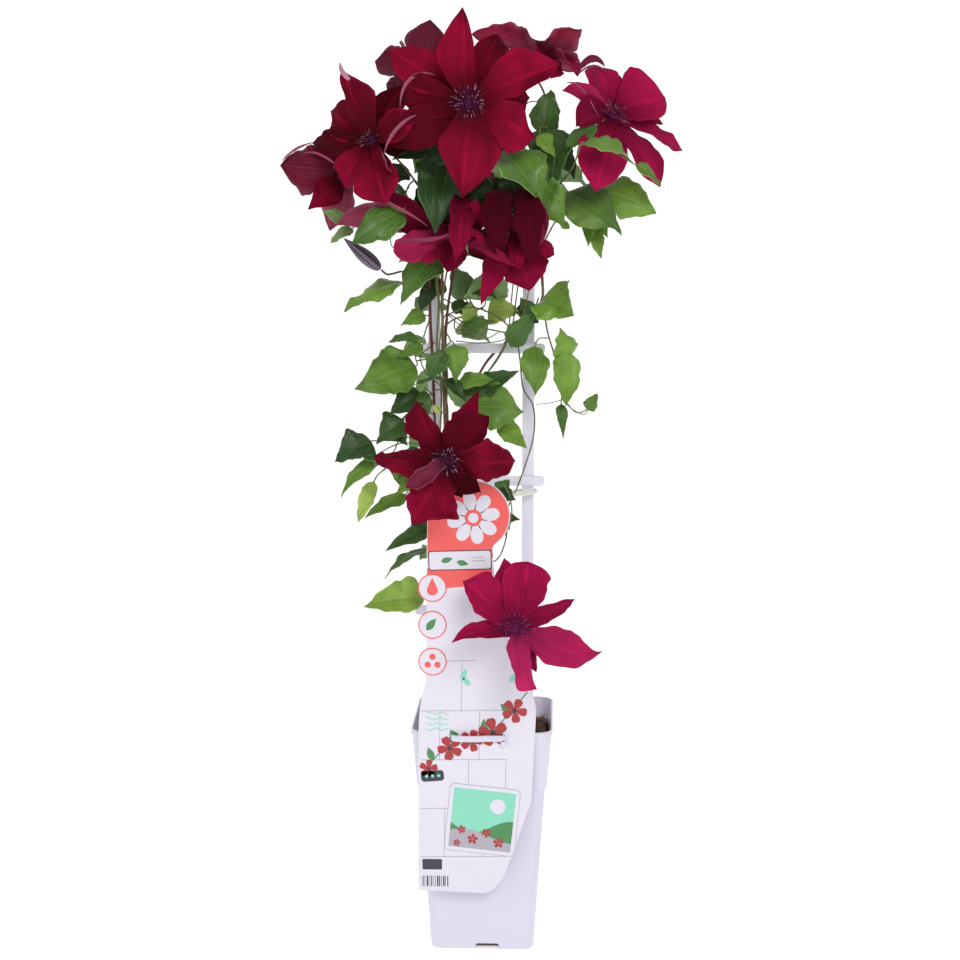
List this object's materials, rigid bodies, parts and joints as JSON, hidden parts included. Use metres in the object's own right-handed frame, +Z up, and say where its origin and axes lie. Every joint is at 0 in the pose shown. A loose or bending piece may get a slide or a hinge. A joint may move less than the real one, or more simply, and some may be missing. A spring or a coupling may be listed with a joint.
{
  "type": "potted clematis on trellis",
  "caption": "Large-flowered climbing clematis in bloom on a white ladder trellis, in a tall square plastic pot with a plant label hung on its rim",
  "frame": {"origin": "Centre of the pot's flat underside, on the surface it stands on", "axes": "+Z up along the trellis, -Y towards the front where the label hangs, +X to the right seen from the front"},
  "size_m": [0.3595, 0.2195, 0.8551],
  "materials": {
    "pot": "gloss",
    "soil": "matte",
    "trellis": "satin",
    "label": "satin",
    "tie": "satin",
    "stem": "satin",
    "tepal": "satin",
    "stamen": "matte",
    "bud": "satin",
    "leaf": "satin",
    "young_leaf": "satin",
    "pale_leaf": "satin"
  },
  "bodies": {
    "root": {"pot": "pot", "soil": "soil", "trellis": "trellis", "label": "label", "tie": "tie", "stem_left": "stem", "stem_centre": "stem", "stem_front": "stem", "stem_right": "stem", "stem_low": "stem", "bloom_top": "tepal", "bloom_left": "tepal", "bloom_far_left": "tepal", "bloom_back_left": "tepal", "bloom_back_right": "tepal", "bloom_right": "tepal", "bloom_centre": "tepal", "bloom_centre_left": "tepal", "bloom_middle": "tepal", "bloom_lower": "tepal", "bloom_back": "tepal", "stamens_top": "stamen", "stamens_left": "stamen", "stamens_far_left": "stamen", "stamens_back_left": "stamen", "stamens_back_right": "stamen", "stamens_right": "stamen", "stamens_centre": "stamen", "stamens_centre_left": "stamen", "stamens_middle": "stamen", "stamens_lower": "stamen", "stamens_back": "stamen", "bud_long": "bud", "bud_small": "bud", "leaves_a": "leaf", "leaves_b": "young_leaf", "leaves_c": "leaf", "leaves_d": "leaf", "leaves_e": "leaf", "leaves_f": "leaf", "leaves_g": "pale_leaf", "leaves_h_upper": "leaf", "leaves_h_lower": "young_leaf", "leaves_i": "leaf", "leaf_i_low": "young_leaf", "leaf_j": "young_leaf", "leaves_k": "leaf", "leaf_l": "leaf", "leaves_m": "leaf", "leaves_n": "young_leaf", "leaves_o": "young_leaf", "leaf_p": "leaf", "leaf_q": "leaf", "leaves_r": "leaf", "leaves_s": "pale_leaf", "leaves_t": "leaf", "leaves_u": "leaf", "leaves_v": "young_leaf"}
  },
  "joints": []
}
